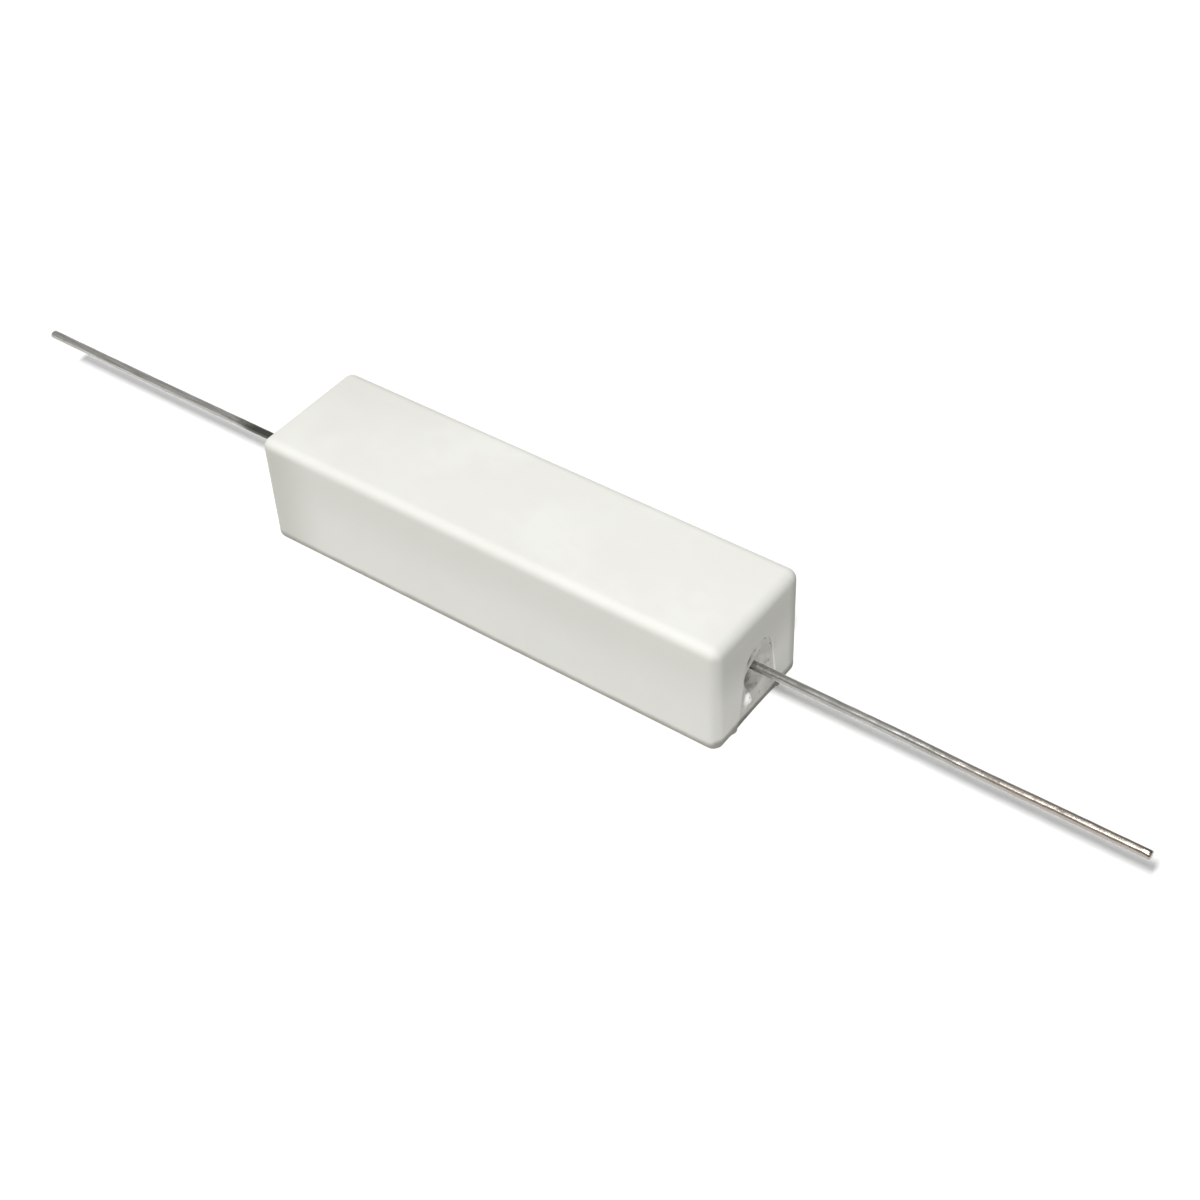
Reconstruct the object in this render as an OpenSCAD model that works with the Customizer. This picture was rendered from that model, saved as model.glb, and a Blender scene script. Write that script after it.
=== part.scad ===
// Wirewound power resistor in a ceramic case, with two straight axial leads.
// A wound ceramic rod sits in a white ceramic trough and is potted in cement.
// The trough stands on its open rim at z = 0, the leads run along X,
// and the origin is under the middle of the case. All sizes are in millimetres.

/* [Ceramic case] */
// Length of the case along the leads
case_l = 49; // [46:0.5:60]
// Width of the case
case_w = 12.5; // [12:0.25:16]
// Height of the case, from the open rim to the closed top
case_h = 11.5; // [11:0.25:15]
// Thickness of the two long walls
side_wall = 1.6; // [1.2:0.1:2]
// Thickness of the two end walls
end_wall = 2; // [1.5:0.1:2.5]
// Thickness of the closed top
top_wall = 1.8; // [1.2:0.1:2.2]
// Radius of the upright edges and of the edges round the top
edge_r = 1; // [0.8:0.1:1.5]
// Radius of the outer edge of the open rim
rim_r = 0.7; // [0.2:0.1:0.7]
// Radius of the corners and the floor edges inside the trough
cavity_r = 1.2; // [0.5:0.1:1.5]

/* [Lead slots] */
// Width of each slot at its rounded root, round the lead
slot_root_w = 4.2; // [3.8:0.1:4.6]
// Width of each slot where it opens at the rim
slot_mouth_w = 6; // [5.4:0.1:6.6]
// Gap left over the lead at the root of the slot
slot_head_gap = 2.5; // [2:0.1:2.8]

/* [Cement] */
// How far the cement stays behind the rim along the walls
fill_recess = 0.4; // [0.1:0.1:1]
// How much deeper the cement has sunk along its middle
fill_dip = 0.3; // [0.1:0.05:0.6]
// How far the cement stays behind the end faces in the slots
slot_recess = 0.2; // [0.05:0.05:0.4]
// Width of the round crater in the cement where each lead comes out
crater_d = 3.6; // [3:0.1:3.8]
// Depth of that crater at its middle
crater_depth = 0.9; // [0.6:0.1:1.2]
// How far the middle of the crater lies below the lead axis
crater_drop = 0.6; // [0:0.1:0.8]

/* [Wound element] */
// Height of the lead axis over the middle of the trough's depth
axis_rise = 0.25; // [0:0.05:0.6]
// Diameter of the ceramic core rod
core_d = 5.5; // [4.5:0.1:5.9]
// Room between each end cap and its end wall
end_room = 3; // [1.5:0.25:5]
// Chamfer at both ends of the core rod
core_chamfer = 0.3; // [0.1:0.05:0.5]
// Diameter of the resistance wire
wire_d = 0.3; // [0.2:0.02:0.4]
// Distance between neighbouring turns of the resistance wire
pitch = 1.25; // [1.1:0.05:2]
// Turns of the wire that lie on each end cap
cap_turns = 1.25; // [1:0.25:1.75]

/* [End caps] */
// How far each end cap reaches over the core rod
cap_reach = 4.5; // [3.5:0.25:6]
// Sheet thickness of the end caps
cap_wall = 0.35; // [0.2:0.05:0.5]
// Rounding of the pressed edge of the end caps
cap_edge_r = 0.3; // [0.1:0.05:0.4]

/* [Leads] */
// Diameter of the lead wire
lead_d = 0.8; // [0.6:0.05:1]
// Length of each lead outside the case
lead_l = 35; // [25:1:40]
// Chamfer at the cut end of each lead
lead_chamfer = 0.08; // [0.02:0.02:0.2]
// Diameter of the welded foot of each lead
foot_d = 2; // [1.6:0.1:2.6]
// Thickness of the welded foot at its rim
foot_t = 0.25; // [0.1:0.05:0.5]

/* [Hidden] */
$fn = 48;

ceramic_white = [0.93, 0.925, 0.905];
cement_grey = [0.80, 0.79, 0.76];
core_cream = [0.90, 0.87, 0.79];
alloy_grey = [0.52, 0.50, 0.46];
steel_grey = [0.66, 0.67, 0.68];
tin_grey = [0.74, 0.73, 0.70];

// Gap between bonded or pressed faces that are round.
seat_gap = 0.02;
// How far a cutting shape runs past the face that it opens.
overrun = 1;

// Trough, inside.
cavity_l = case_l - 2 * end_wall;
cavity_w = case_w - 2 * side_wall;
cavity_top = case_h - top_wall;
axis_h = cavity_top / 2 + axis_rise;
// Radius of the flat cylinder that hollows the cement from wall to wall.
dip_r = (pow(cavity_w / 2, 2) + fill_dip * fill_dip) / (2 * fill_dip);
dip_facets = 360;
// Radius of the ball that shapes a crater.
crater_r = (crater_d * crater_d / 4 + crater_depth * crater_depth) / (2 * crater_depth);
crater_x = case_l / 2 - slot_recess - crater_depth + crater_r;

// Slot: a round root over the lead, then straight flanks that open downwards.
slot_root_r = slot_root_w / 2;
slot_root_z = axis_h + lead_d / 2 + slot_head_gap - slot_root_r;
slot_mouth_half = slot_mouth_w / 2;
// Angle of each flank to the vertical, where it leaves the round root as a tangent.
flank_reach = sqrt(slot_mouth_half * slot_mouth_half + slot_root_z * slot_root_z);
flank_angle = atan2(slot_mouth_half, slot_root_z) - asin(slot_root_r / flank_reach);

// Wound element.
core_r = core_d / 2;
wire_r = wire_d / 2;
lead_r = lead_d / 2;
foot_r = foot_d / 2;
cap_inner_r = core_r + seat_gap;
cap_outer_r = cap_inner_r + cap_wall;
// The closed face and the free edge of each cap, from the middle of the core.
cap_face_x = cavity_l / 2 - end_room;
core_l = 2 * (cap_face_x - cap_wall);
cap_edge_x = core_l / 2 - cap_reach;

// Winding: chords of a helix, kept clear of the core and the caps at mid chord.
wire_segments = 24;
wire_sides = 6;
chord_factor = cos(180 / wire_segments);
core_turn_r = (core_r + seat_gap + wire_r) / chord_factor;
cap_turn_r = (cap_outer_r + seat_gap + wire_r) / chord_factor;
// The wire climbs onto each cap just before the cap's free edge.
climb_end_x = cap_edge_x - wire_r - seat_gap;
climb_start_x = climb_end_x - pitch / 2;
wire_end_x = cap_edge_x + cap_turns * pitch;
wire_rings = ceil(2 * wire_end_x / pitch * wire_segments);

// Room that the cement leaves round the element.
winding_room_r = cap_turn_r + wire_r + seat_gap;
foot_room_r = foot_r + seat_gap;
lead_room_r = lead_r + seat_gap;
foot_h = foot_t + foot_r - lead_r;

// Rectangle from x0 to x1 and y0 to y1, with radius low_r below and high_r above.
module rounded_rect(x0, x1, y0, y1, low_r, high_r) {
    translate([x0 + low_r, y0])
        square([x1 - x0 - 2 * low_r, low_r]);
    translate([x0, y0 + low_r])
        square([x1 - x0, y1 - y0 - low_r - high_r]);
    translate([x0 + high_r, y1 - high_r])
        square([x1 - x0 - 2 * high_r, high_r]);
    for (side = [0, 1]) {
        translate([side == 0 ? x0 + low_r : x1 - low_r, y0 + low_r])
            circle(r = low_r);
        translate([side == 0 ? x0 + high_r : x1 - high_r, y1 - high_r])
            circle(r = high_r);
    }
}

// Box with all its edges rounded: plan, front and end outlines, each run through.
module rounded_box(l, w, z0, z1, upright_r, low_r, high_r) {
    intersection() {
        translate([0, 0, z0])
            linear_extrude(height = z1 - z0)
                rounded_rect(-l / 2, l / 2, -w / 2, w / 2, upright_r, upright_r);
        translate([0, w / 2, 0])
            rotate([90, 0, 0])
                linear_extrude(height = w)
                    rounded_rect(-l / 2, l / 2, z0, z1, low_r, high_r);
        translate([-l / 2, 0, 0])
            rotate([90, 0, 90])
                linear_extrude(height = l)
                    rounded_rect(-w / 2, w / 2, z0, z1, low_r, high_r);
    }
}

// What lies outside a ball of radius r, in the eighth of space that holds the corner.
module ball_corner(r) {
    difference() {
        cube(r + overrun);
        sphere(r = r);
    }
}

// The same for a foot corner: upright radius r above, turned under by radius low_r.
module foot_corner(r, low_r) {
    difference() {
        translate([0, 0, -low_r - overrun])
            cube([r + overrun, r + overrun, low_r + overrun]);
        rotate_extrude() {
            translate([0, -low_r])
                square([r - low_r, low_r]);
            translate([r - low_r, 0])
                intersection() {
                    circle(r = low_r);
                    translate([0, -low_r])
                        square(low_r);
                }
        }
    }
}

// Repeats a shape made for the corner at +X and +Y at all four corners.
module at_corners(l, w) {
    for (flip_x = [0, 1], flip_y = [0, 1])
        mirror([flip_x, 0, 0])
            mirror([0, flip_y, 0])
                translate([l / 2, w / 2, 0])
                    children();
}

// The outside of the case: a rounded box whose corners are balls above, rolled below.
module case_block() {
    difference() {
        rounded_box(case_l, case_w, 0, case_h, edge_r, rim_r, edge_r);
        at_corners(case_l - 2 * edge_r, case_w - 2 * edge_r) {
            translate([0, 0, case_h - edge_r])
                ball_corner(edge_r);
            translate([0, 0, rim_r])
                foot_corner(edge_r, rim_r);
        }
    }
}

// Outline of one lead slot, across the case, from below z = low to its round root.
module slot_outline(low) {
    flank_y = slot_root_r * cos(flank_angle);
    flank_z = slot_root_z + slot_root_r * sin(flank_angle);
    low_y = flank_y + (flank_z - low) * tan(flank_angle);
    translate([0, slot_root_z])
        circle(r = slot_root_r);
    polygon([[-low_y, low], [low_y, low], [flank_y, flank_z], [-flank_y, flank_z]]);
}

// Both lead slots as solids, between two distances from the middle of the case.
module slot_pair(inner_x, outer_x, low) {
    for (side = [-1, 1])
        translate([side > 0 ? inner_x : -outer_x, 0, 0])
            rotate([90, 0, 90])
                linear_extrude(height = outer_x - inner_x)
                    slot_outline(low);
}

// The hollow of the trough, down to the given height.
module cavity(low) {
    rounded_box(cavity_l, cavity_w, low, cavity_top, cavity_r, cavity_r, cavity_r);
}

// Places a shape made along +Z onto the lead axis, pointing to +X or to -X.
module along_axis(side) {
    translate([0, 0, axis_h])
        rotate([0, side * 90, 0])
            children();
}

// One pressed trough, open below, with a slot for the lead in each end wall.
module ceramic_case() {
    color(ceramic_white)
        difference() {
            case_block();
            cavity(-cavity_r - overrun);
            slot_pair(cavity_l / 2 - overrun, case_l / 2 + overrun, -overrun);
        }
}

// Room for the rod, its caps, its winding and the welded feet of the leads.
module element_room() {
    for (side = [-1, 1])
        along_axis(side) {
            cylinder(r = winding_room_r, h = cap_face_x + seat_gap);
            cylinder(r = foot_room_r, h = cap_face_x + foot_h + seat_gap);
            cylinder(r = lead_room_r, h = case_l / 2);
        }
}

// Cement that fills the trough round the element and plugs both slots. Each plug
// has sunk into a round crater where its lead comes out.
module cement_fill() {
    color(cement_grey)
        difference() {
            intersection() {
                union() {
                    cavity(-cavity_r - overrun);
                    slot_pair(cavity_l / 2 - overrun, case_l / 2 - slot_recess, -overrun);
                }
                translate([-case_l / 2, -case_w / 2, fill_recess])
                    cube([case_l, case_w, case_h]);
            }
            translate([-case_l / 2, 0, fill_recess + fill_dip - dip_r])
                rotate([0, 90, 0])
                    cylinder(r = dip_r, h = case_l, $fn = dip_facets);
            element_room();
            for (side = [-1, 1])
                translate([side * crater_x, 0, axis_h - crater_drop])
                    sphere(r = crater_r);
        }
}

// Plain ceramic rod, chamfered at both ends.
module core_rod() {
    color(core_cream)
        translate([-core_l / 2, 0, axis_h])
            rotate([0, 90, 0])
                rotate_extrude()
                    polygon([
                        [0, 0],
                        [core_r - core_chamfer, 0],
                        [core_r, core_chamfer],
                        [core_r, core_l - core_chamfer],
                        [core_r - core_chamfer, core_l],
                        [0, core_l]
                    ]);
}

// Radius of the wire's centre line at distance x from the middle of the core.
function turn_r(x) =
    let (climb = (abs(x) - climb_start_x) / (climb_end_x - climb_start_x))
    core_turn_r + (cap_turn_r - core_turn_r) * min(1, max(0, climb));

// Ring number i of the wire: a small polygon in the plane of the axis.
function wire_ring(i) =
    let (
        x = -wire_end_x + 2 * wire_end_x * i / wire_rings,
        turn = 360 * i / wire_segments
    )
    [for (k = [0 : wire_sides - 1])
        let (
            around = 360 * k / wire_sides,
            r = turn_r(x) + wire_r * cos(around)
        )
        [x + wire_r * sin(around), r * cos(turn), r * sin(turn)]
    ];

// Helix of resistance wire along the rod, its last turns up on the caps.
module resistance_wire() {
    points = [for (i = [0 : wire_rings]) each wire_ring(i)];
    sides = [for (i = [0 : wire_rings - 1], k = [0 : wire_sides - 1])
        let (
            a = i * wire_sides + k,
            b = i * wire_sides + (k + 1) % wire_sides
        )
        [a, a + wire_sides, b + wire_sides, b]
    ];
    first_end = [for (k = [0 : wire_sides - 1]) k];
    last_end = [for (k = [0 : wire_sides - 1]) wire_rings * wire_sides + wire_sides - 1 - k];
    color(alloy_grey)
        translate([0, 0, axis_h])
            polyhedron(points = points, faces = [first_end, each sides, last_end]);
}

// Cup pressed over one end of the rod, closed towards the lead.
module end_cap(side) {
    color(steel_grey)
        along_axis(side)
            rotate_extrude()
                difference() {
                    union() {
                        translate([0, cap_edge_x])
                            square([cap_outer_r, cap_face_x - cap_edge_x - cap_edge_r]);
                        translate([0, cap_face_x - cap_edge_r])
                            square([cap_outer_r - cap_edge_r, cap_edge_r]);
                        translate([cap_outer_r - cap_edge_r, cap_face_x - cap_edge_r])
                            circle(r = cap_edge_r);
                    }
                    translate([0, cap_edge_x - overrun])
                        square([cap_inner_r, core_l / 2 - cap_edge_x + overrun]);
                }
}

module left_end_cap() {
    end_cap(-1);
}

module right_end_cap() {
    end_cap(1);
}

// Tinned wire with a foot welded flat on the cap, cut and chamfered outside.
module lead(side) {
    tip_x = case_l / 2 + lead_l;
    flare_r = foot_r - lead_r;
    color(tin_grey)
        along_axis(side)
            rotate_extrude() {
                polygon([
                    [0, cap_face_x],
                    [lead_r, cap_face_x],
                    [lead_r, tip_x - lead_chamfer],
                    [lead_r - lead_chamfer, tip_x],
                    [0, tip_x]
                ]);
                difference() {
                    translate([0, cap_face_x])
                        square([foot_r, foot_t + flare_r]);
                    translate([foot_r, cap_face_x + foot_t + flare_r])
                        circle(r = flare_r);
                }
            }
}

module left_lead() {
    lead(-1);
}

module right_lead() {
    lead(1);
}

ceramic_case();
cement_fill();
core_rod();
resistance_wire();
left_end_cap();
right_end_cap();
left_lead();
right_lead();
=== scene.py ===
"""Looks of a ceramic-cased power resistor: case, cement, tinned leads, light and camera.

Sizes below are in millimetres and are turned into metres where a mesh is made.
X runs along the leads, Y across the case and Z up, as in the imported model.
"""

import bpy
import numpy as np
from mathutils import Matrix, Vector


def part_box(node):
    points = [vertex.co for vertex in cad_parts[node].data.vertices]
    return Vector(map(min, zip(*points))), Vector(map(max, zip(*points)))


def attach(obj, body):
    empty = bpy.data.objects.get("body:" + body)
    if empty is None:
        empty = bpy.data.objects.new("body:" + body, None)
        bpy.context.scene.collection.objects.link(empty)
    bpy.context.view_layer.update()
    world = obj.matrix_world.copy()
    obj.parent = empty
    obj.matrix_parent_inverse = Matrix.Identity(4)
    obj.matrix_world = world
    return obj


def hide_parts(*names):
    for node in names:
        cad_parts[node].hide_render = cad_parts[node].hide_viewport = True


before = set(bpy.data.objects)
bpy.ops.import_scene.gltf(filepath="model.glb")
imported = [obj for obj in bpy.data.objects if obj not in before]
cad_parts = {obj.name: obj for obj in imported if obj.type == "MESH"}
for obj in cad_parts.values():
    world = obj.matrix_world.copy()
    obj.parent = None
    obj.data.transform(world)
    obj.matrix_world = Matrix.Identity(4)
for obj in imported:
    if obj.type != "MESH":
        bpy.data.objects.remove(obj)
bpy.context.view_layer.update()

MM = 0.001
RIGHT, LEFT = 1, -1


def size_of(node):
    """Lowest and highest corner of a CAD node, in millimetres."""
    low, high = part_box(node)
    return np.array(low) / MM, np.array(high) / MM


_, case_high = size_of("ceramic_case")
lead_low, lead_high = size_of("right_lead")

# Case
HALF_L = case_high[0]
HALF_W = case_high[1]
CASE_H = case_high[2]
EDGE_R = 1.0
RIM_R = 0.7
END_WALL = 2.0
SIDE_WALL = 1.6
TOP_WALL = 1.8
CAVITY_R = 1.2
CAVITY_HALF_L = HALF_L - END_WALL
CAVITY_HALF_W = HALF_W - SIDE_WALL
CAVITY_TOP = CASE_H - TOP_WALL

# Leads, with a foot welded on the end cap, and their slots
AXIS_H = (lead_low[2] + lead_high[2]) / 2
LEAD_TIP = lead_high[0]
LEAD_R = 0.4
LEAD_DROOP = 0.22
LEAD_BEND = 36, 46
FOOT_R = 1.0
FOOT_T = 0.25
END_ROOM = 3.0
CAP_FACE = CAVITY_HALF_L - END_ROOM
SLOT_HEAD_GAP = 2.5
SLOT_ROOT_R = 2.1
SLOT_ROOT_Z = AXIS_H + LEAD_R + SLOT_HEAD_GAP - SLOT_ROOT_R
SLOT_MOUTH_HALF = 3.0
SLOT_EDGE_R = 0.12
MOUTH_EDGE_R = 0.32
MOUTH_CORNER_R = 0.35

# Cement, with its climb up a wall and the distance over which that fades
FILL_RECESS = 0.4
FILL_DIP = 0.3
FILL_CLIMB = 0.14
FILL_CLIMB_L = 0.25
FILL_ROUGH = 0.035
WINDING_ROOM_R = 3.49
PLUG_FACE_X = HALF_L - 0.26
PLUG_BACK = 0.4
PLUG_FOOT_Z = 0.16
CRATER_DEPTH = 0.9
CRATER_HALF_W = 1.85
CRATER_HALF_H = 2.05
CRATER_Z = AXIS_H - 0.6
PIT_Y, PIT_Z = -1.05, 7.1
PIT_R = 0.36
PIT_DEPTH = 1.1
DAB_Y, DAB_Z = -1.6, 2.75
DAB_HALF_W = 0.5
DAB_HALF_H = 0.75
DAB_HEIGHT = 0.62
BOND_GAP = 0.01


# Mesh helpers


def weld(points, quads, places=6):
    """Points that share a place, to so many decimals of a millimetre, become one, and faces that
    have collapsed to a line are dropped. A quad that has become a triangle keeps three corners."""
    _, first, same = np.unique(
        np.round(points, places), axis=0, return_index=True, return_inverse=True
    )
    quads = same.reshape(-1)[quads]
    kept = quads != np.roll(quads, -1, axis=1)
    corners = kept.sum(1)
    triangles = quads[corners == 3][kept[corners == 3]].reshape(-1, 3)
    return points[first], quads[corners == 4].tolist() + triangles.tolist()


def grid_quads(rows, columns, close_columns=True, close_rows=False):
    """Corner numbers of the quads of a grid whose points are numbered row by row."""
    row = np.arange(rows if close_rows else rows - 1)
    column = np.arange(columns if close_columns else columns - 1)
    a, b = np.meshgrid(row, column, indexing="ij")
    a2, b2 = (a + 1) % rows, (b + 1) % columns
    quads = np.stack([a * columns + b, a * columns + b2, a2 * columns + b2, a2 * columns + b], -1)
    return quads.reshape(-1, 4)


def make_piece(name, shells, material, node):
    """One smooth mesh object from closed shells, each given as (points in millimetres, quads)."""
    points = np.concatenate([points for points, _ in shells])
    starts = np.cumsum([0] + [len(points) for points, _ in shells[:-1]])
    quads = np.concatenate([quads + start for (_, quads), start in zip(shells, starts)])
    points, faces = weld(points, quads)
    mesh = bpy.data.meshes.new(name)
    mesh.from_pydata((points * MM).tolist(), [], faces)
    mesh.shade_smooth()
    mesh.materials.append(material)
    piece = bpy.data.objects.new(name, mesh)
    bpy.context.scene.collection.objects.link(piece)
    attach(piece, "root")
    if node:
        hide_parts(node)
    return piece


def smooth(value, start, stop):
    """0 up to start and 1 from stop on, or the other way round if stop is the lower of the two,
    with 3 t^2 - 2 t^3 in between."""
    t = np.clip((value - start) / (stop - start), 0, 1)
    return t * t * (3 - 2 * t)


def ripple(u, v, seed, waves=7, spread=1.0):
    """Smooth unevenness of about one unit: a sum of sine waves in u and v, whose directions,
    lengths and phases come from the seed. u and v are in millimetres."""
    draw = np.random.default_rng(seed)
    total = np.zeros(np.broadcast(u, v).shape)
    for _ in range(waves):
        angle = draw.uniform(0, 2 * np.pi)
        rate = 2 * np.pi * draw.uniform(0.35, 1.6) / spread
        phase = draw.uniform(0, 2 * np.pi)
        total += np.sin(rate * (u * np.cos(angle) + v * np.sin(angle)) + phase)
    return total / np.sqrt(waves)


def middle_line(plan, half):
    """Nearest places to a ring of points (x, y) on the line y = 0 from x = -half to half."""
    x = np.clip(plan[:, 0], -half, half)
    return np.stack([x, np.zeros_like(x)], 1)


# Outline of a lead slot, in the plane of the end wall


def slot_path():
    """Edge of the slot from its left corner on the rim to its right one, and normals into the
    ceramic: corner arc, flank, round root, flank, corner arc. Rows of (y, z) and of normals."""
    reach = np.hypot(SLOT_MOUTH_HALF, SLOT_ROOT_Z)
    lean = np.arctan2(SLOT_MOUTH_HALF, SLOT_ROOT_Z) - np.arcsin(SLOT_ROOT_R / reach)
    # The root, from the left flank's tangent point over the top to the right one's.
    angle = np.linspace(np.pi - lean, lean, 41)
    root_normal = np.stack([np.cos(angle), np.sin(angle)], 1)
    root = root_normal * SLOT_ROOT_R + [0, SLOT_ROOT_Z]
    # The corner arc on the right, whose centre lies inside the ceramic.
    flank_normal = np.array([np.cos(lean), np.sin(lean)])
    foot_y = root[-1, 0] + root[-1, 1] * np.tan(lean)
    turn = np.pi / 2 - lean
    tangent = MOUTH_CORNER_R * np.tan(turn / 2)
    centre = np.array([foot_y + tangent, MOUTH_CORNER_R])
    sweep = np.linspace(np.pi + lean, 1.5 * np.pi, 9)
    out = np.stack([np.cos(sweep), np.sin(sweep)], 1)
    corner = centre + out * MOUTH_CORNER_R
    # The flank between them, without its two end points.
    along = np.linspace(0, 1, 19)[1:-1, None]
    flank = root[-1] * (1 - along) + corner[0] * along
    right = np.concatenate([flank, corner])
    right_normal = np.concatenate([np.repeat(flank_normal[None], len(flank), 0), -out])
    mirror = [-1, 1]
    points = np.concatenate([right[::-1] * mirror, root, right])
    normals = np.concatenate([right_normal[::-1] * mirror, root_normal, right_normal])
    return points, normals


# The case


def case_stations():
    """Stations once round the case, seen from above and turning left, for its surface.

    Each has an outward direction and, for the outer walls, the corner centre that it turns
    round. On an end wall a station also has its place on the rim or slot edge (y, z) with its
    normal, and the place of its upright line under the rounded top edge."""
    edge, normal = slot_path()
    flat_y = HALF_W - EDGE_R
    flat_x = HALF_L - EDGE_R
    rim = np.linspace(-flat_y, edge[0, 0], 14)[:-1]
    rim_points = np.stack([rim, np.zeros_like(rim)], 1)
    rim_normal = np.repeat([[0.0, 1.0]], len(rim), 0)
    end = np.concatenate([rim_points, edge, rim_points[::-1] * [-1, 1]])
    end_normal = np.concatenate([rim_normal, normal, rim_normal])
    step = np.hypot(*np.diff(end, axis=0).T)
    share = np.concatenate([[0], np.cumsum(step)])
    upper_y = -flat_y + 2 * flat_y * share / share[-1]
    # The rounding shrinks towards the slot's mouth, and again up the slot's flank.
    mouth = smooth(np.abs(end[:, 0]) - abs(edge[0, 0]), 0.8, 0)
    flank = smooth(end[:, 1], MOUTH_CORNER_R, 2.0)
    round_r = RIM_R + (MOUTH_EDGE_R - RIM_R) * mouth + (SLOT_EDGE_R - MOUTH_EDGE_R) * flank

    turn = np.linspace(0, np.pi / 2, 15)[1:-1]
    along_side = np.linspace(-flat_x, flat_x, 81)

    parts = []
    for side in (RIGHT, LEFT):
        # End wall, from front to back on the right and from back to front on the left.
        count = len(end)
        parts.append(
            dict(
                centre=np.stack([np.full(count, side * flat_x), side * upper_y], 1),
                out=np.repeat([[side * 1.0, 0.0]], count, 0),
                foot=np.stack([np.full(count, side * flat_x), side * end[:, 0]], 1),
                foot_z=end[:, 1],
                shift=np.stack([np.zeros(count), side * end_normal[:, 0]], 1),
                shift_z=end_normal[:, 1],
                round_r=round_r,
                inner=np.stack(
                    [np.full(count, side * CAVITY_HALF_L), side * inner_end_y(end[:, 0])], 1
                ),
            )
        )
        # Corner, side wall and corner, up to the next end wall.
        angle = turn if side == RIGHT else turn + np.pi
        parts.append(corner_part(side * flat_x, side * flat_y, angle))
        count = len(along_side)
        x = -side * along_side
        inner_x = x * (CAVITY_HALF_L - CAVITY_R) / flat_x
        parts.append(
            dict(
                centre=np.stack([x, np.full(count, side * flat_y)], 1),
                out=np.repeat([[0.0, side * 1.0]], count, 0),
                foot=np.stack([x, np.full(count, side * flat_y)], 1),
                foot_z=np.zeros(count),
                shift=np.zeros((count, 2)),
                shift_z=np.ones(count),
                round_r=np.full(count, RIM_R),
                inner=np.stack([inner_x, np.full(count, side * CAVITY_HALF_W)], 1),
            )
        )
        angle = turn + np.pi / 2 if side == RIGHT else turn - np.pi / 2
        parts.append(corner_part(-side * flat_x, side * flat_y, angle))
    return {key: np.concatenate([part[key] for part in parts]) for key in parts[0]}


def inner_end_y(y):
    """Place across the cavity's end wall for a rim station at y: the same within the slot, and
    drawn in towards the cavity's own corner beyond it."""
    slot = SLOT_MOUTH_HALF + MOUTH_CORNER_R
    flat = HALF_W - EDGE_R
    inner_flat = CAVITY_HALF_W - CAVITY_R
    beyond = np.clip((np.abs(y) - slot) / (flat - slot), 0, 1)
    return np.sign(y) * np.where(
        np.abs(y) <= slot, np.abs(y), slot + beyond * (inner_flat - slot)
    )


def corner_part(centre_x, centre_y, angle):
    """Stations that turn round one upright corner of the case."""
    count = len(angle)
    out = np.stack([np.cos(angle), np.sin(angle)], 1)
    centre = np.repeat([[centre_x, centre_y]], count, 0)
    inner_centre = np.array(
        [
            np.sign(centre_x) * (CAVITY_HALF_L - CAVITY_R),
            np.sign(centre_y) * (CAVITY_HALF_W - CAVITY_R),
        ]
    )
    return dict(
        centre=centre,
        out=out,
        foot=centre,
        foot_z=np.zeros(count),
        shift=np.zeros((count, 2)),
        shift_z=np.ones(count),
        round_r=np.full(count, RIM_R),
        inner=inner_centre + out * CAVITY_R,
    )


def case_surface():
    """The case as one closed skin: rows run from the middle of the top outwards, over the
    rounded top edge, down the wall, round the rim or slot edge, across the wall's thickness, up
    the inside and to the middle of the cavity's floor."""
    s = case_stations()
    rows = []

    def row(plan, z):
        rows.append(np.concatenate([plan, np.broadcast_to(z, len(plan))[:, None]], 1))

    # Flat top: from a short line in the middle out to the start of the rounding.
    middle = middle_line(s["centre"], HALF_L - HALF_W)
    for t in (0, 0.2, 0.4, 0.6, 0.8, 0.93, 0.985):
        row(middle * (1 - t) + s["centre"] * t, CASE_H)
    # Rounded top edge: a quarter turn.
    for a in np.linspace(0, np.pi / 2, 11):
        row(s["centre"] + s["out"] * EDGE_R * np.sin(a), CASE_H - EDGE_R * (1 - np.cos(a)))
    # Wall, from under that edge to the start of the rim's rounding.
    r = s["round_r"][:, None]
    top_plan = s["centre"] + s["out"] * EDGE_R
    top_z = np.full(len(top_plan), CASE_H - EDGE_R)
    low_plan = s["foot"] + s["out"] * EDGE_R + s["shift"] * r
    low_z = s["foot_z"] + s["shift_z"] * s["round_r"]
    for t in (0.02, 0.1, 0.25, 0.4, 0.55, 0.7, 0.82, 0.91, 0.965, 0.99):
        row(top_plan * (1 - t) + low_plan * t, top_z * (1 - t) + low_z * t)
    # Rounded rim or slot edge: a quarter turn from the wall to the rim's face.
    for a in np.linspace(0, np.pi / 2, 9):
        deep = r * (1 - np.cos(a))
        off = r * (1 - np.sin(a))
        row(
            s["foot"] + s["out"] * (EDGE_R - deep) + s["shift"] * off,
            s["foot_z"] + s["shift_z"] * off[:, 0],
        )
    # Face of the rim, across the wall.
    face_plan = s["foot"] + s["out"] * (EDGE_R - r)
    for t in (0.04, 0.3, 0.6, 0.96, 1.0):
        row(face_plan * (1 - t) + s["inner"] * t, s["foot_z"])
    # Inside of the wall, then the cavity's floor.
    for t in (0.25, 0.5, 0.75, 1.0):
        row(s["inner"], s["foot_z"] * (1 - t) + CAVITY_TOP * t)
    inner_middle = middle_line(s["inner"], HALF_L - HALF_W)
    for t in (0.3, 0.7, 1.0):
        row(s["inner"] * (1 - t) + inner_middle * t, CAVITY_TOP)
    points = np.concatenate(rows)
    return points, grid_quads(len(rows), len(s["out"]))[:, ::-1]


# Materials


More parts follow.
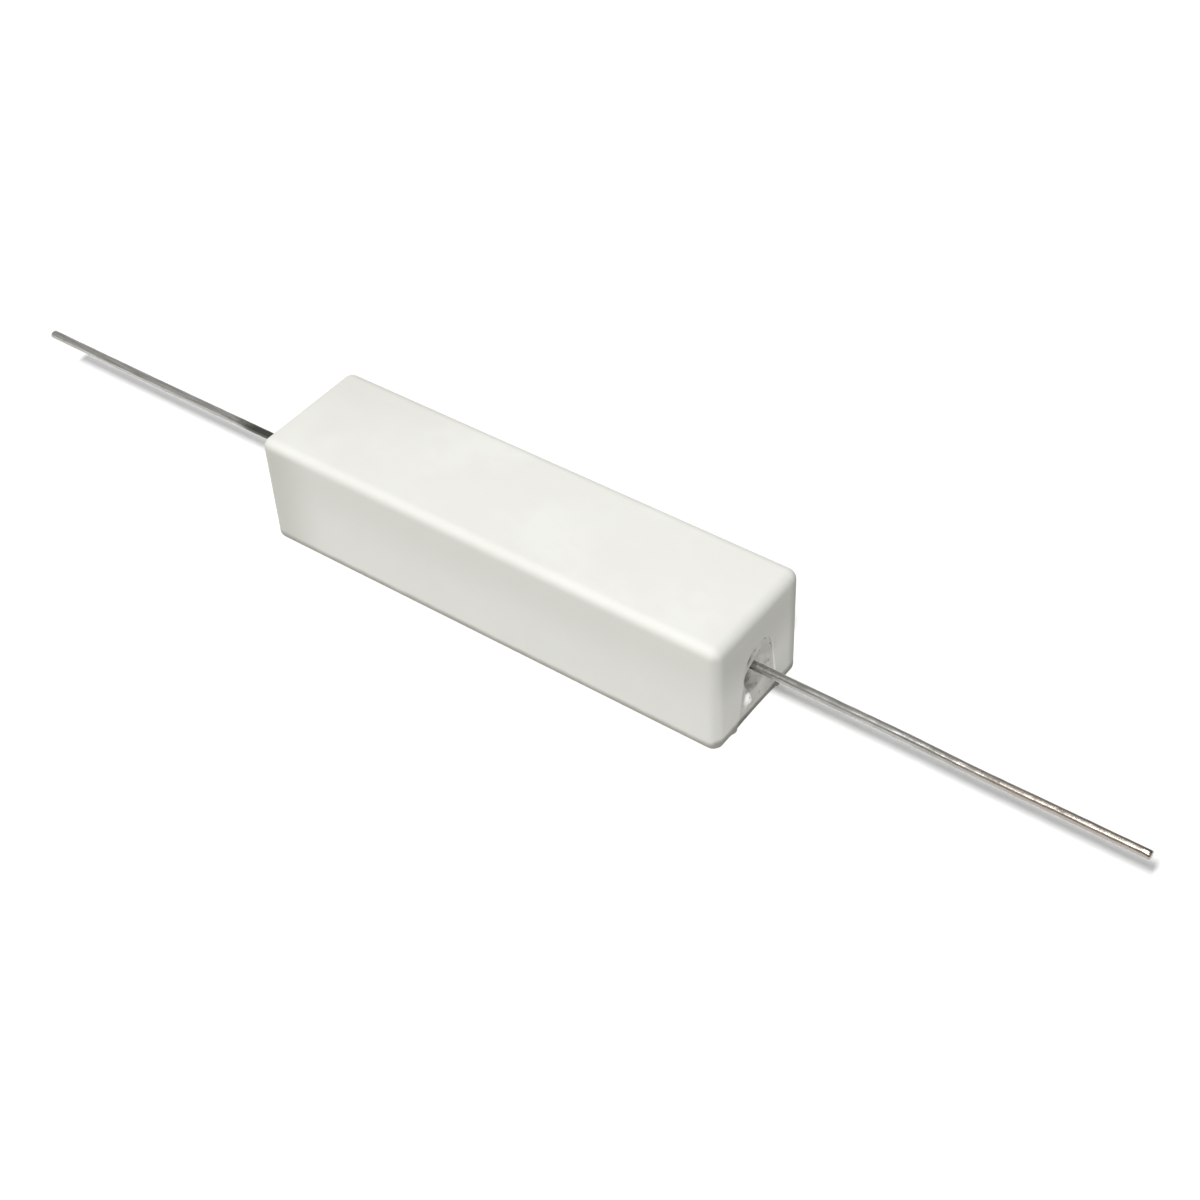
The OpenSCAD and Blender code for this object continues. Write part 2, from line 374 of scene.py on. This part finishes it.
class Value:
    """Wraps a number socket so that shader maths is written as Python expressions."""

    def __init__(self, shader, socket):
        self.shader, self.socket = shader, socket

    def _math(self, operation, *values):
        node = self.shader.node(
            "ShaderNodeMath", dict(operation=operation), {i: v for i, v in enumerate(values)}
        )
        return Value(self.shader, node.outputs[0])

    def __add__(self, other):
        return self._math("ADD", self, other)

    def __radd__(self, other):
        return self._math("ADD", other, self)

    def __sub__(self, other):
        return self._math("SUBTRACT", self, other)

    def __rsub__(self, other):
        return self._math("SUBTRACT", other, self)

    def __mul__(self, other):
        return self._math("MULTIPLY", self, other)

    def __rmul__(self, other):
        return self._math("MULTIPLY", other, self)

    def __abs__(self):
        return self._math("ABSOLUTE", self)


class Shader:
    """The node tree of a new material or world, with one way to add any node."""

    def __init__(self, owner, surface="Principled BSDF"):
        owner.use_nodes = True
        self.owner = owner
        self.tree = owner.node_tree
        self.surface = self.tree.nodes[surface]

    def plug(self, socket, value):
        """Sets a socket to a constant, or links it to a Value or another socket."""
        if isinstance(value, Value):
            value = value.socket
        if isinstance(value, bpy.types.NodeSocket):
            self.tree.links.new(value, socket)
        else:
            socket.default_value = value

    def node(self, kind, settings=None, inputs=None):
        """Adds a node: its settings first, then the values or links of its inputs."""
        made = self.tree.nodes.new(kind)
        for key, value in (settings or {}).items():
            setattr(made, key, value)
        for key, value in (inputs or {}).items():
            self.plug(made.inputs[key], value)
        return made

    def place(self, scale):
        """Object coordinates, in millimetres divided by the given lengths."""
        here = self.node("ShaderNodeTexCoord").outputs["Object"]
        rate = [1 / MM / length for length in scale]
        return self.node("ShaderNodeMapping", {}, {"Vector": here, "Scale": rate}).outputs[0]

    def along(self, axis):
        """Object coordinate along X, Y or Z, in millimetres."""
        here = self.node("ShaderNodeTexCoord").outputs["Object"]
        split = self.node("ShaderNodeSeparateXYZ", {}, {"Vector": here})
        return Value(self, split.outputs[axis]) * (1 / MM)

    def noise(self, scale, detail=3.0, roughness=0.55, seed=0.0):
        """Noise whose features have about the given length, in millimetres."""
        lengths = scale if isinstance(scale, tuple) else (scale,) * 3
        made = self.node(
            "ShaderNodeTexNoise",
            dict(noise_dimensions="4D"),
            {
                "Vector": self.place(lengths),
                "W": seed,
                "Scale": 1.0,
                "Detail": detail,
                "Roughness": roughness,
            },
        )
        return Value(self, made.outputs[0])

    def level(self, value, low, high, out_low=0.0, out_high=1.0):
        """Maps low to high onto out_low to out_high, smoothly and without overshoot."""
        made = self.node(
            "ShaderNodeMapRange",
            dict(interpolation_type="SMOOTHSTEP"),
            {0: value, 1: low, 2: high, 3: out_low, 4: out_high},
        )
        return Value(self, made.outputs[0])

    def mix(self, factor, first, second):
        """Mixes two colours."""
        made = self.node(
            "ShaderNodeMix",
            dict(data_type="RGBA"),
            {0: factor, 6: first, 7: second},
        )
        return made.outputs[2]

    def bump(self, height, depth, under=None):
        """A bump whose height, from 0 to 1, stands for depth in millimetres."""
        inputs = {"Strength": 1.0, "Distance": depth * MM, "Height": height}
        if under is not None:
            inputs["Normal"] = under
        return self.node("ShaderNodeBump", {}, inputs).outputs[0]

    def finish(self, **values):
        """Sets the surface shader's sockets, with words joined by _ for their spaces."""
        for key, value in values.items():
            self.plug(self.surface.inputs[key.replace("_", " ")], value)
        return self.owner


def new_material(name):
    """The shader of a new material."""
    return Shader(bpy.data.materials.new(name))


def rgb(red, green, blue):
    """A colour with full opacity."""
    return (red, green, blue, 1.0)


def fired_ceramic():
    """Unglazed white ceramic: nearly even, with a faint warm mottle, a very fine grain and a few
    grey pores.

    It is painted a little darker, as shade, towards the left end, on the two long sides, high up
    on every wall and at two upright edges, most of all beside the right end's far one. The rolled
    lower edge is painted dark grey, as shade where the case meets the floor, up to an uneven line."""
    s = new_material("fired_white_ceramic")
    cloud = s.noise(7.0, detail=2.0)
    mottle = s.noise((2.2, 1.6, 1.6), detail=4.0, seed=3.1)
    grain = s.noise(0.16, detail=3.0, roughness=0.7, seed=5.0)
    pores = s.noise(0.5, detail=2.0, seed=8.0)
    base = s.mix(s.level(cloud, 0.35, 0.65), rgb(0.705, 0.702, 0.662), rgb(0.73, 0.728, 0.688))
    base = s.mix(s.level(mottle, 0.45, 0.7, 0.0, 0.5), base, rgb(0.695, 0.685, 0.637))
    base = s.mix(s.level(pores, 0.7, 0.8, 0.0, 0.35), base, rgb(0.55, 0.53, 0.49))
    # Painted shade: the ceramic is painted darker towards the left end and the front-left, where
    # less light falls.
    left_end_painted_shade = s.along("X") - s.along("Y") + cloud * 12
    base = s.mix(s.level(left_end_painted_shade, -4, -28, 0.0, 0.8), base, rgb(0.63, 0.625, 0.585))
    below_top = s.level(s.along("Z"), 11.35, 10.5)
    # Painted shade: the two long sides are painted darker below the top, standing in for less
    # light on them.
    long_side_painted_shade = s.level(abs(s.along("Y")), 5.4, 6.1) * below_top
    base = s.mix(long_side_painted_shade * 0.65, base, rgb(0.565, 0.562, 0.53))
    # Painted shade: every wall is painted darker high up, under the rounded top edge.
    upper_wall_painted_shade = s.level(s.along("Z"), 4.0, 9.5) * below_top
    base = s.mix(upper_wall_painted_shade * 0.75, base, rgb(0.56, 0.557, 0.515))
    # Painted shade at the front-left and back-right upright edges, which turn away from the light.
    corner = s.along("X") * s.along("Y") * (1 / (HALF_L * HALF_W))
    corner = s.level(corner, 0.72, 0.97) * below_top
    base = s.mix(corner * 0.6, base, rgb(0.40, 0.40, 0.35))
    # Painted shade beside the right end's far upright edge, where the rounded corner turns from
    # the light.
    far_edge_painted_shade = s.level(s.along("Y"), 4.4, 5.6) * s.level(s.along("X"), HALF_L - 1.2, HALF_L - 0.3)
    base = s.mix(far_edge_painted_shade * below_top * 0.55, base, rgb(0.36, 0.36, 0.30))
    # Painted shade along the rolled lower edge, up to an uneven line and higher on the end walls,
    # standing in for the shade where the case meets the floor.
    line = s.along("Z") + s.noise(1.4, detail=3.0, seed=12.0) * 0.3
    line = line - s.level(abs(s.along("X")), HALF_L - 0.7, HALF_L - 0.2) * 0.3
    base = s.mix(s.level(line, 0.72, 1.42, 0.92, 0.0), base, rgb(0.26, 0.255, 0.225))
    normal = s.bump(grain, 0.012)
    normal = s.bump(mottle, 0.03, normal)
    return s.finish(
        Base_Color=base,
        Roughness=s.level(grain, 0.3, 0.7, 0.55, 0.72),
        Normal=normal,
        Specular_IOR_Level=0.4,
    )


def potting_cement():
    """Silica cement: sandy and full of small pits. It is pale where it was wiped level with the
    case and palest where it stands out of a slot. It is painted dark inside a slot, as shade in
    the recess, and along its foot, as shade where it meets the floor."""
    s = new_material("silica_cement")
    patch = s.noise(1.8, detail=4.0)
    sand = s.noise(0.22, detail=3.0, roughness=0.65, seed=2.0)
    pits = s.noise(0.45, detail=1.0, seed=6.0)
    base = s.mix(s.level(patch, 0.35, 0.65), rgb(0.60, 0.59, 0.54), rgb(0.70, 0.69, 0.65))
    base = s.mix(s.level(sand, 0.4, 0.7, 0.0, 0.5), base, rgb(0.76, 0.75, 0.72))
    # Painted shade: cement more than about 0.8 mm behind the end face, above its foot, is painted
    # dark, as shade in the recess.
    reach = abs(s.along("X"))
    inside = s.level(reach, HALF_L - 0.8, HALF_L - 1.1) * s.level(s.along("Z"), 0.8, 1.2)
    base = s.mix(inside, base, rgb(0.20, 0.195, 0.18))
    proud = s.level(reach, HALF_L - 0.15, HALF_L + 0.05)
    base = s.mix(proud, base, rgb(0.88, 0.88, 0.85))
    # Painted shade along the cement's foot next to the end face, continuing the shade where the
    # case meets the floor.
    foot = s.level(s.along("Z") + patch * 0.3, 1.05, 0.6)
    foot = foot * s.level(reach, HALF_L - 1.0, HALF_L - 0.7)
    base = s.mix(foot * 0.85, base, rgb(0.22, 0.215, 0.19))
    base = s.mix(s.level(pits, 0.62, 0.72, 0.0, 0.5), base, rgb(0.34, 0.33, 0.30))
    normal = s.bump(sand, 0.05)
    normal = s.bump(s.level(pits, 0.6, 0.72, 1.0, 0.0), 0.08, normal)
    return s.finish(Base_Color=base, Roughness=0.85, Normal=normal)


def tinned_finish():
    """Hot-tinned wire: satin metal with long soft streaks and small dull patches. The left lead
    is painted dark beside the case, as shade, and the right one grows warmer and rougher to its
    end."""
    s = new_material("tinned_wire_finish")
    streak = s.noise((3.0, 0.22, 0.22), detail=4.0)
    patch = s.noise((1.1, 0.6, 0.6), detail=3.0, seed=4.0)
    grain = s.noise((0.35, 0.12, 0.12), detail=2.0, seed=9.0)
    base = s.mix(s.level(streak, 0.35, 0.65), rgb(0.36, 0.35, 0.325), rgb(0.50, 0.49, 0.47))
    base = s.mix(s.level(patch, 0.55, 0.72, 0.0, 0.55), base, rgb(0.33, 0.295, 0.255))
    warm = s.level(s.along("X"), 38, 50, 0.0, 0.6)
    base = s.mix(warm, base, rgb(0.43, 0.365, 0.31))
    # Painted shade: the left lead is painted nearly black a few millimetres out from the case's
    # left end.
    left_lead_painted_shade = s.level(s.along("X") + patch * 3, -33.5, -30.0) * s.level(s.along("X"), -20, -28)
    base = s.mix(left_lead_painted_shade * 0.9, base, rgb(0.06, 0.065, 0.055))
    normal = s.bump(streak, 0.006)
    normal = s.bump(grain, 0.003, normal)
    handled = s.noise((0.5, 0.3, 0.3), detail=2.0, seed=15.0) * s.level(s.along("X"), 36, 46)
    normal = s.bump(handled, 0.02, normal)
    return s.finish(
        Base_Color=base,
        Metallic=1.0,
        Roughness=s.level(patch, 0.35, 0.7, 0.24, 0.32),
        Normal=normal,
    )


def plain_metal(name, colour, roughness, grain_lengths):
    """Drawn or pressed metal with a fine grain along one direction."""
    s = new_material(name)
    grain = s.noise(grain_lengths, detail=3.0)
    dark = tuple(c * 0.8 for c in colour)
    base = s.mix(s.level(grain, 0.35, 0.65), rgb(*dark), rgb(*colour))
    return s.finish(
        Base_Color=base,
        Metallic=1.0,
        Roughness=s.level(grain, 0.3, 0.7, roughness, roughness + 0.15),
        Normal=s.bump(grain, 0.006),
    )


def core_ceramic():
    """Cream ceramic of the rod."""
    s = new_material("core_ceramic")
    mottle = s.noise(0.9, detail=4.0)
    base = s.mix(s.level(mottle, 0.35, 0.65), rgb(0.68, 0.63, 0.52), rgb(0.78, 0.74, 0.64))
    return s.finish(Base_Color=base, Roughness=0.7, Normal=s.bump(mottle, 0.02))


# Cement pieces


def potting_surface():
    """The potting as one closed skin inside the trough: its free face below is sunk along the
    middle, climbs a little at the walls and is uneven, and the rest follows the cavity."""
    half_l = CAVITY_HALF_L - BOND_GAP
    half_w = CAVITY_HALF_W - BOND_GAP
    flat_x, flat_y = half_l - CAVITY_R, half_w - CAVITY_R
    turn = np.linspace(0, np.pi / 2, 9)
    side_x = np.linspace(-flat_x, flat_x, 121)
    end_y = np.linspace(-flat_y, flat_y, 25)
    corners = [(1, 1, 0), (-1, 1, 1), (-1, -1, 2), (1, -1, 3)]
    loop = []
    for sign_x, sign_y, quarter in corners:
        angle = turn + quarter * np.pi / 2
        ring = np.stack([np.cos(angle), np.sin(angle)], 1) * CAVITY_R
        loop.append(ring + [sign_x * flat_x, sign_y * flat_y])
        if quarter % 2 == 0:
            x = -sign_x * side_x[1:-1]
            loop.append(np.stack([x, np.full(len(x), sign_y * half_w)], 1))
        else:
            y = -sign_y * end_y[1:-1]
            loop.append(np.stack([np.full(len(y), sign_x * half_l), y], 1))
    loop = np.concatenate(loop)
    middle = middle_line(loop, half_l - half_w)
    rows = []
    for t in np.concatenate([np.linspace(0, 0.9, 22), [0.94, 0.965, 0.985, 1.0]]):
        plan = middle * (1 - t) + loop * t
        dip = FILL_DIP * (1 - (plan[:, 1] / half_w) ** 2)
        # Past 4 mm the wall no longer counts, so that the middle line closes without a step.
        wall = np.minimum(np.hypot(*(loop - plan).T), 4.0)
        climb = FILL_CLIMB * np.exp(-wall / FILL_CLIMB_L)
        rough = FILL_ROUGH * ripple(plan[:, 0], plan[:, 1], 11, waves=12, spread=2.4)
        z = FILL_RECESS + dip - climb + rough * (1 - np.exp(-wall / 0.4))
        rows.append(np.concatenate([plan, z[:, None]], 1))
    for z in (CAVITY_TOP * 0.5, CAVITY_TOP - BOND_GAP):
        rows.append(np.concatenate([loop, np.full((len(loop), 1), z)], 1))
    top = CAVITY_TOP - BOND_GAP
    rows.append(np.concatenate([middle, np.full((len(loop), 1), top)], 1))
    return np.concatenate(rows), grid_quads(len(rows), len(loop))


def room_surface():
    """The room round the wound element, as a closed skin that faces into it: a profile of
    radii turned round the lead axis."""
    reach = CAVITY_HALF_L - 3 * BOND_GAP
    gap = 2 * BOND_GAP
    cap, foot_end = CAP_FACE + gap, CAP_FACE + FOOT_T + FOOT_R - LEAD_R + gap
    foot, bore = FOOT_R + gap, LEAD_R + gap
    half = [(0, WINDING_ROOM_R), (cap, WINDING_ROOM_R), (cap, foot), (foot_end, foot)]
    half += [(foot_end, bore), (reach, bore), (reach, 0)]
    profile = np.array([(-x, r) for x, r in half[:0:-1]] + half)
    angle = np.linspace(0, 2 * np.pi, 49)[:-1]
    x = np.repeat(profile[:, :1], len(angle), 1)
    y = profile[:, 1:] * np.cos(angle)
    z = AXIS_H + profile[:, 1:] * np.sin(angle)
    points = np.stack([x, y, z], -1).reshape(-1, 3)
    return points, grid_quads(len(profile), len(angle))[:, ::-1]


def slot_plug_surface(side, seed):
    """Cement in one slot, as a closed ring round the lead.

    Rows run from the lead out to the ceramic. The face lies just behind the end face. From it
    are taken an oval crater round the lead, with a steep brim and deepest towards the front, and
    small unevenness. It climbs a little at the lead and at the ceramic. The right end also has a
    round pit above the lead and a dab of cement that stands out low in front, both with the
    outline of a bell curve."""
    edge, _ = slot_path()
    inside = edge[edge[:, 1] > PLUG_FOOT_Z + 0.04]
    low_y = inside[-1, 0]
    foot = np.linspace(low_y, -low_y, 33)
    foot_z = PLUG_FOOT_Z + 0.12 * (1 - (foot / low_y) ** 2)
    ring = np.concatenate([inside, np.stack([foot, foot_z], 1)])
    centre = np.array([0, AXIS_H])
    away = ring - centre
    away /= np.hypot(*away.T)[:, None]
    ring = ring - away * BOND_GAP
    bore = centre + away * (LEAD_R + BOND_GAP)
    back = CAVITY_HALF_L - PLUG_BACK
    marks = 1.0 if side == RIGHT else 0.0
    rows = [np.concatenate([np.full((len(ring), 1), back), bore], 1)]
    span = np.hypot(*(ring - bore).T)
    for t in np.concatenate([[0, 0.02, 0.05], np.linspace(0.08, 0.95, 70), [0.98, 1.0]]):
        plane = bore * (1 - t) + ring * t
        u, z = plane.T
        v = z - CRATER_Z
        rough = 0.02 * ripple(u, v, seed, waves=16, spread=1.0)
        rough = rough + 0.03 * ripple(u, v, seed + 3, waves=8, spread=2.6)
        rough = rough * np.sin(np.pi * np.clip(t, 0.06, 0.94))
        brim = 1 + 0.05 * ripple(np.arctan2(v, u), 0 * u, seed + 9, waves=5, spread=3.1)
        half_h = np.where(v > 0, CRATER_HALF_H - 0.5, CRATER_HALF_H)
        reach = np.hypot(u / CRATER_HALF_W, v / half_h) / brim
        tilt = (0.35 + 0.65 * smooth(u, 1.6, -1.2)) * (0.3 + 0.7 * smooth(v, -2.0, -0.5))
        sunk = CRATER_DEPTH * (1 - smooth(reach, 0.7, 1.0)) * tilt
        pit = np.exp(-(((u - PIT_Y) / PIT_R) ** 2) - ((z - PIT_Z) / PIT_R) ** 2)
        dab = np.exp(-(((u - DAB_Y) / DAB_HALF_W) ** 2) - ((z - DAB_Z) / DAB_HALF_H) ** 2)
        sunk = sunk + marks * (PIT_DEPTH * pit - DAB_HEIGHT * dab)
        climb = 0.15 * np.exp(-t * span / 0.15)
        lip = 0.08 * np.exp(-(1 - t) * span / 0.12)
        x = PLUG_FACE_X - sunk + climb + lip + rough
        rows.append(np.concatenate([x[:, None], plane], 1))
    rows.append(np.concatenate([np.full((len(ring), 1), back), ring], 1))
    points = np.concatenate(rows) * [side, 1, 1]
    quads = grid_quads(len(rows), len(ring), close_rows=True)
    return points, quads if side == RIGHT else quads[:, ::-1]


# Leads


def lead_surface(side, seed):
    """One lead as a profile turned round the lead axis, then made uneven: welded foot, flare,
    wire, and the cut end, which the cutter has nipped a little flatter than it is wide. The
    right one is bent down a little over its last third, as the photograph shows."""
    flare = FOOT_R - LEAD_R
    swing = np.linspace(0, np.pi / 2, 9)
    flare_x = CAP_FACE + FOOT_T + flare * (1 - np.cos(swing))
    flare_r = FOOT_R - flare * np.sin(swing)
    run = np.linspace(CAP_FACE + FOOT_T + flare, LEAD_TIP - 0.09, 210)[1:]
    end_x = LEAD_TIP - np.array([0.04, 0.01, 0, 0, 0])
    end_r = [LEAD_R - 0.03, LEAD_R - 0.07, LEAD_R - 0.12, 0.15, 0.0]
    x = np.concatenate([[CAP_FACE, CAP_FACE], flare_x, run, end_x])
    r = np.concatenate([[0.0, FOOT_R], flare_r, np.full(len(run), LEAD_R), end_r])
    angle = np.linspace(0, 2 * np.pi, 33)[:-1]
    x, angle = x[:, None], angle[None]
    r = r[:, None]
    outside = np.clip((x - HALF_L) / 1.5, 0, 1)
    coat = 0.006 * ripple(x, angle * LEAD_R * 2, seed, waves=9, spread=2.2)
    radius = r * (1 + coat / LEAD_R * outside)
    nip = np.exp(-((LEAD_TIP - x) / 0.35) ** 2)
    y = radius * np.cos(angle) * (1 + 0.04 * nip)
    z = radius * np.sin(angle) * (1 - 0.12 * nip)
    sway = outside * 0.02
    y = y + sway * ripple(x, 0 * x, seed + 50, waves=3, spread=26.0)
    z = z + sway * ripple(x, 0 * x, seed + 70, waves=3, spread=26.0)
    if side == RIGHT:
        z = z - LEAD_DROOP * smooth(x, *LEAD_BEND)
    points = np.stack([np.broadcast_to(x, y.shape), y, z + AXIS_H], -1).reshape(-1, 3)
    points = points * [side, 1, 1]
    quads = grid_quads(len(r), angle.shape[1])
    return points, quads if side == RIGHT else quads[:, ::-1]


# Build the pieces

ceramic = fired_ceramic()
cement = potting_cement()
tin = tinned_finish()

make_piece("case_shell", [case_surface()], ceramic, "ceramic_case")
potting = [potting_surface(), room_surface()]
shading = [make_piece("potting", potting, cement, "cement_fill")]
for side, word in ((RIGHT, "right"), (LEFT, "left")):
    plug = [slot_plug_surface(side, 20 + side)]
    make_piece(f"{word}_slot_cement", plug, cement, None)
    wire = [lead_surface(side, 30 + side)]
    shading.append(make_piece(f"{word}_lead_wire", wire, tin, f"{word}_lead"))

inner_finishes = {
    "core_rod": core_ceramic(),
    "resistance_wire": plain_metal("resistance_alloy", (0.42, 0.40, 0.36), 0.35, (0.1, 0.4, 0.4)),
    "left_end_cap": plain_metal("cap_steel", (0.55, 0.56, 0.57), 0.3, (0.8, 0.1, 0.1)),
}
inner_finishes["right_end_cap"] = inner_finishes["left_end_cap"]
for node, finish in inner_finishes.items():
    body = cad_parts[node]
    for slot in body.material_slots:
        slot.material = finish


# Floor, light and camera

FLOOR_HALF = 1500
FLOOR_DROP = 0.01
PHOTO_PX = 1200
FOCAL_PX = 2072


def floor():
    """A wide pale floor just under the part, so that the two don't share a plane."""
    s = new_material("pale_floor")
    grain = s.noise(30.0, detail=2.0)
    base = s.mix(s.level(grain, 0.3, 0.7), rgb(0.91, 0.91, 0.905), rgb(0.93, 0.93, 0.925))
    material = s.finish(Base_Color=base, Roughness=0.9, Specular_IOR_Level=0.1)
    corners = np.array([(-1, -1, 0), (1, -1, 0), (1, 1, 0), (-1, 1, 0)]) * FLOOR_HALF
    corners = (corners - [0, 0, FLOOR_DROP]) * MM
    mesh = bpy.data.meshes.new("floor")
    mesh.from_pydata(corners.tolist(), [], [[0, 1, 2, 3]])
    mesh.materials.append(material)
    plane = bpy.data.objects.new("floor", mesh)
    bpy.context.scene.collection.objects.link(plane)
    return plane


def direction(azimuth, elevation):
    """Unit vector towards a place seen from the part: azimuth 0 is the front, 90 the right."""
    a, e = np.radians([azimuth, elevation])
    return Vector((np.sin(a) * np.cos(e), -np.cos(a) * np.cos(e), np.sin(e)))


def soft_light(name, azimuth, elevation, distance, width, depth, watts):
    """An oval area light that faces the part, with its width level and along X."""
    data = bpy.data.lights.new(name, "AREA")
    data.shape = "ELLIPSE"
    data.size = width * MM
    data.size_y = depth * MM
    data.energy = watts
    lamp = bpy.data.objects.new(name, data)
    towards = direction(azimuth, elevation)
    lamp.location = towards * distance * MM
    up = towards.cross(Vector((1, 0, 0))).normalized()
    turned = Matrix((up.cross(towards), up, towards)).transposed()
    lamp.rotation_euler = turned.to_euler()
    bpy.context.scene.collection.objects.link(lamp)
    return lamp


def limit_light(lamp, kind, objects, state):
    """Which objects a light reaches (receiver) or which cast its shadow (blocker)."""
    group = bpy.data.collections.new(f"{lamp.name}_{kind}")
    for item in objects:
        group.objects.link(item)
    for entry in group.collection_objects:
        entry.light_linking.link_state = state
    setattr(lamp.light_linking, f"{kind}_collection", group)


def surroundings(strength, left_strength, right_strength, backdrop):
    """A plain dim studio, brighter towards the left and a little towards the right. What is seen
    past the floor's edge is a plain pale backdrop."""
    s = Shader(bpy.data.worlds.new("studio"), "Background")
    bpy.context.scene.world = s.owner
    place = s.node("ShaderNodeTexCoord").outputs["Generated"]
    side = s.node("ShaderNodeSeparateXYZ", {}, {0: place}).outputs[0]
    level = s.level(side, -0.05, -0.4, strength, left_strength)
    level = s.level(side, 0.35, 0.6, level, right_strength)
    sight = s.node("ShaderNodeLightPath").outputs["Is Camera Ray"]
    seen = s.node("ShaderNodeMix", {}, {0: sight, 2: level, 3: backdrop}).outputs[0]
    s.finish(Color=rgb(1.0, 1.0, 1.0), Strength=seen)


def photo_camera():
    """The photograph's view, as fitted to the edges of the case and to both leads."""
    stand = Vector((87.64, -101.72, 127.92)) * MM
    aim = Vector((8.86, -0.76, 5.10)) * MM
    roll = np.radians(-2.95)
    data = bpy.data.cameras.new("camera")
    data.sensor_width = 36
    data.lens = data.sensor_width * FOCAL_PX / PHOTO_PX
    data.clip_start = 0.01
    camera = bpy.data.objects.new("camera", data)
    back = (stand - aim).normalized()
    camera.matrix_world = (
        Matrix.Translation(stand)
        @ back.to_track_quat("Z", "Y").to_matrix().to_4x4()
        @ Matrix.Rotation(roll, 4, "Z")
    )
    bpy.context.scene.collection.objects.link(camera)
    bpy.context.scene.camera = camera


table = floor()
surroundings(strength=0.08, left_strength=0.6, right_strength=0.16, backdrop=0.93)
overhead = soft_light(
    "overhead", azimuth=90, elevation=84, distance=500, width=60, depth=420, watts=1.0
)
limit_light(overhead, "receiver", [table], "EXCLUDE")
key = soft_light("key", azimuth=9, elevation=57.5, distance=600, width=60, depth=60, watts=2.3)
limit_light(key, "receiver", [table], "EXCLUDE")
# The floor is lit apart: the leads throw their soft shadows on it, and the cement shades what
# lies under the case, but the ceramic doesn't, so that the floor stays white beside the case.
floor_key = soft_light(
    "floor_key", azimuth=8, elevation=57.5, distance=2500, width=250, depth=560, watts=68
)
limit_light(floor_key, "receiver", [table], "INCLUDE")
limit_light(floor_key, "blocker", shading, "INCLUDE")
photo_camera()
bpy.context.scene.view_settings.view_transform = "Standard"
